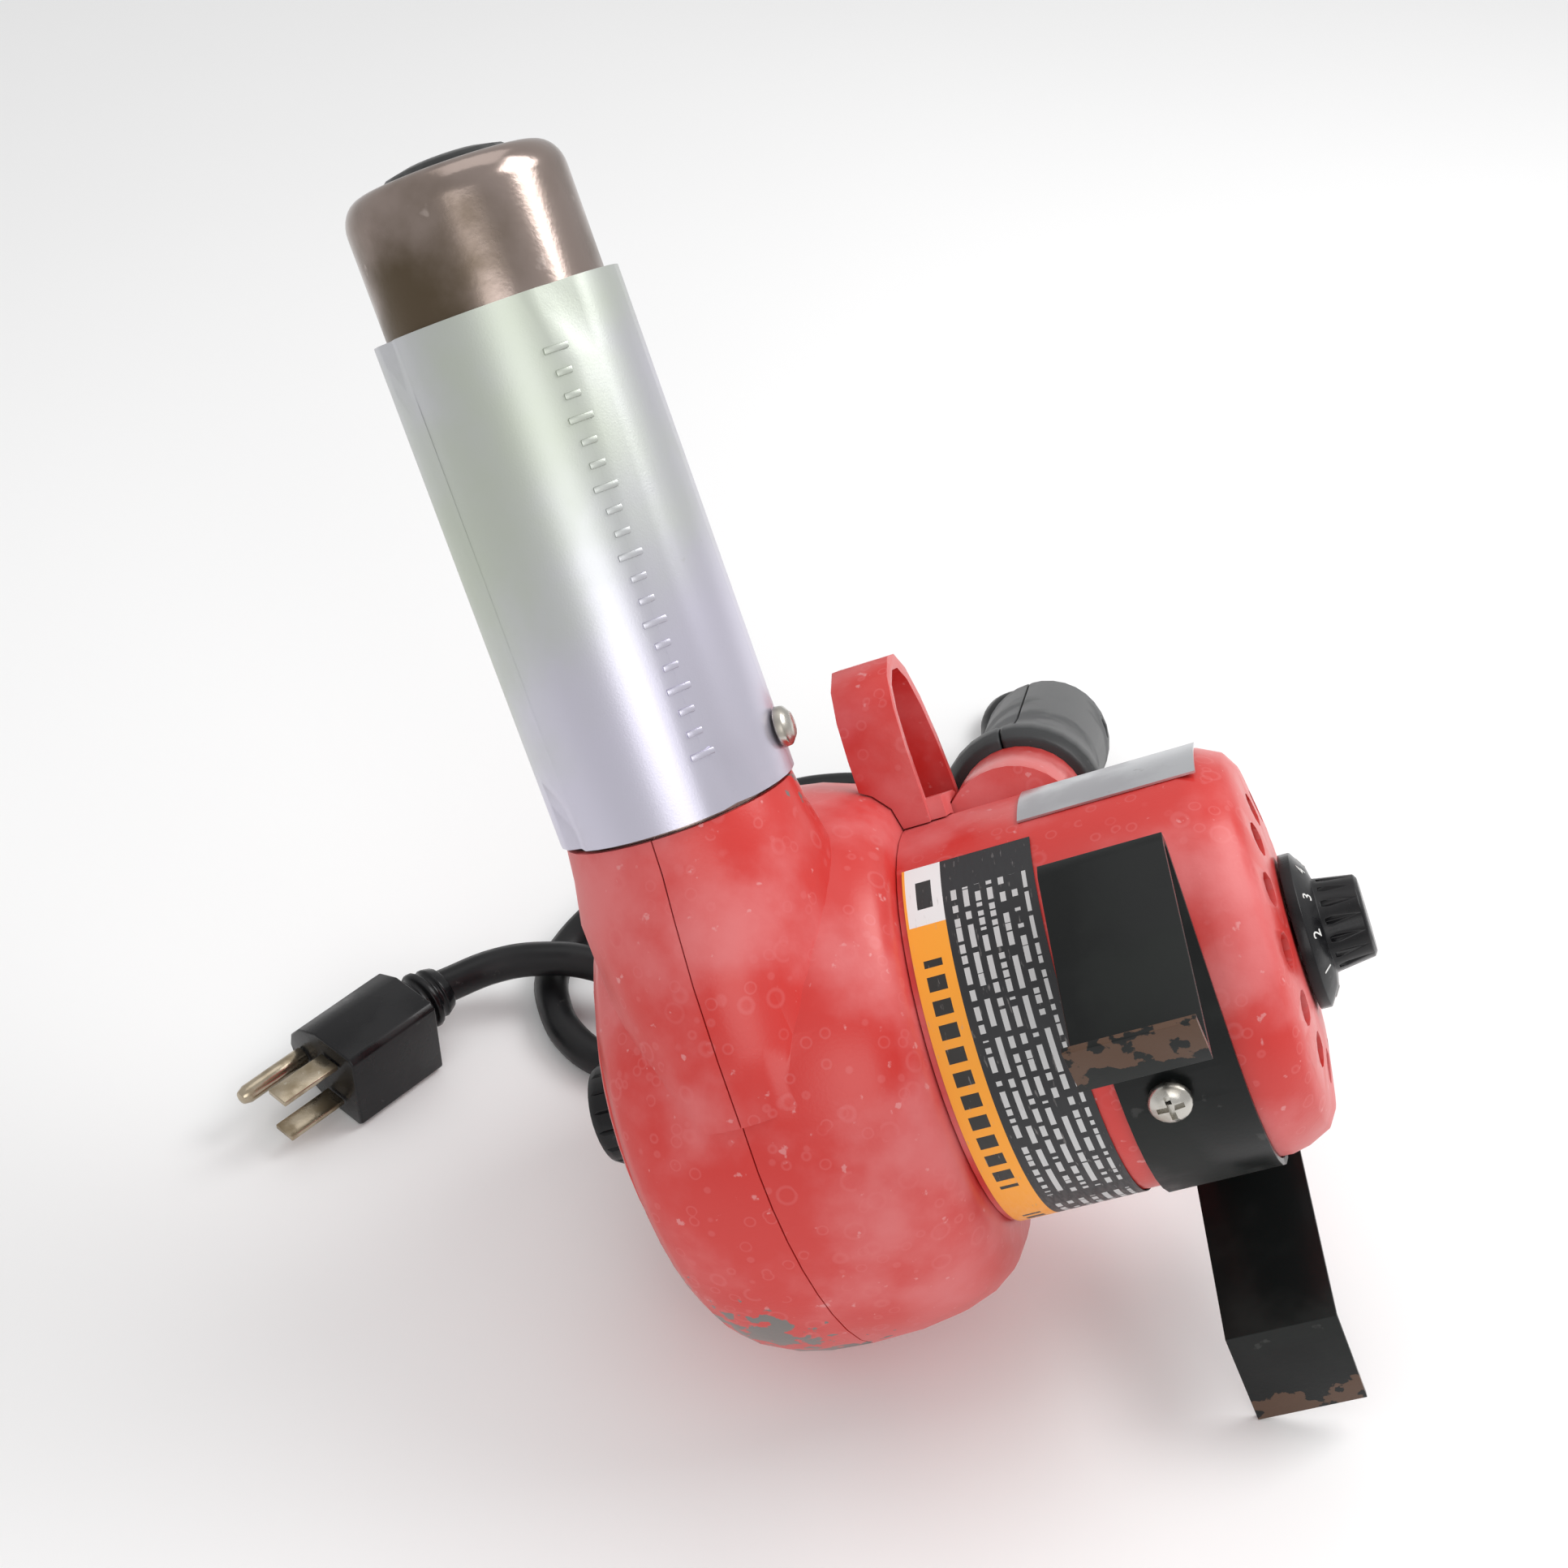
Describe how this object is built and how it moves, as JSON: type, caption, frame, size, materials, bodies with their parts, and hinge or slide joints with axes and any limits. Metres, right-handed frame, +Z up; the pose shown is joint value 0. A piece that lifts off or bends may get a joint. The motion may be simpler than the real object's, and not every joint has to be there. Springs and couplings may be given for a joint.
{
  "type": "heat gun",
  "caption": "Corded heat gun in a red cast housing, with a steel nozzle, vented motor can, dial, rear handle and a bent strap stand, lying with its cord and plug on the floor.",
  "frame": {"origin": "centre of the gun's own outline at floor level, without the cord and plug", "axes": "+Z up from the floor the gun rests on, +X along the floor towards the dial end of the fan axis, +Y towards the handle side"},
  "size_m": [0.2665, 0.281, 0.2519],
  "materials": {
    "red_casting": "chalked gloss enamel on die-cast metal, clouded, spotted and chipped",
    "nozzle_steel": "heat-tinted stainless steel",
    "shield_steel": "satin rolled sheet steel",
    "fastener": "dull nickel plate",
    "strap_enamel": "black enamel, scuffed, rusty at the bends",
    "black_plastic": "moulded black plastic",
    "handle_plastic": "grained dark grey plastic",
    "cord_rubber": "smooth black rubber",
    "label_print": "printed film",
    "plate_foil": "brushed foil",
    "ceramic": "fired ceramic and mica",
    "copper": "wound and turned copper",
    "pin_brass": "tarnished plated brass",
    "inner_steel": "plain machined steel",
    "board": "circuit board"
  },
  "bodies": {
    "gun": {"housing_intake_half": "red_casting", "housing_motor_half": "red_casting", "motor_housing": "red_casting", "guard_loop": "red_casting", "intake_cover": "red_casting", "nozzle_tube": "nozzle_steel", "heat_shield": "shield_steel", "shield_screw_1": "fastener", "shield_screw_2": "fastener", "stand_screw": "fastener", "handle_screw": "fastener", "stand_strap": "strap_enamel", "outlet_baffle": "strap_enamel", "switch_body": "black_plastic", "plug_body": "black_plastic", "handle_left": "handle_plastic", "handle_right": "handle_plastic", "strain_relief": "cord_rubber", "mains_cord": "cord_rubber", "cord_coil": "cord_rubber", "cord_tail": "cord_rubber", "side_label": "label_print", "rating_plate": "plate_foil", "stand_tongue": "plate_foil", "mica_liner": "ceramic", "element_core": "ceramic", "element_base": "ceramic", "field_coil_1": "copper", "field_coil_2": "copper", "brush_1": "pin_brass", "brush_2": "pin_brass", "plug_blade_1": "pin_brass", "plug_blade_2": "pin_brass", "plug_earth_pin": "pin_brass", "element_coil": "inner_steel", "motor_mount_plate": "inner_steel", "bearing_front": "inner_steel", "bearing_rear": "inner_steel", "motor_end_bracket": "inner_steel", "stator": "inner_steel", "potentiometer": "inner_steel", "control_board": "board"},
    "fan": {"motor_shaft": "inner_steel", "armature": "copper", "commutator": "copper", "impeller": "inner_steel", "impeller_nut": "fastener"},
    "shutter": {"intake_shutter": "strap_enamel", "shutter_knob": "black_plastic", "shutter_screw": "fastener"},
    "dial": {"dial_knob": "black_plastic"},
    "rocker": {"switch_rocker": "handle_plastic"}
  },
  "joints": [
    {"name": "fan_spin", "type": "hinge", "parent": "gun", "child": "fan", "pos_m": [0.03941, -0.05726, 0.08424], "axis": [0.9278, 0, 0.373], "continuous": true},
    {"name": "shutter_turn", "type": "hinge", "parent": "gun", "child": "shutter", "pos_m": [-0.05523, -0.05726, 0.04619], "axis": [0.9278, 0, 0.373], "range_deg": [0, 30]},
    {"name": "dial_turn", "type": "hinge", "parent": "gun", "child": "dial", "pos_m": [0.09322, -0.05726, 0.10587], "axis": [0.9278, 0, 0.373], "range_deg": [0, 270]},
    {"name": "switch_rock", "type": "hinge", "parent": "gun", "child": "rocker", "pos_m": [0.02257, 0.01508, 0.07202], "axis": [-0.3164, 0.5423, 0.7783], "range_deg": [0, 4]}
  ]
}
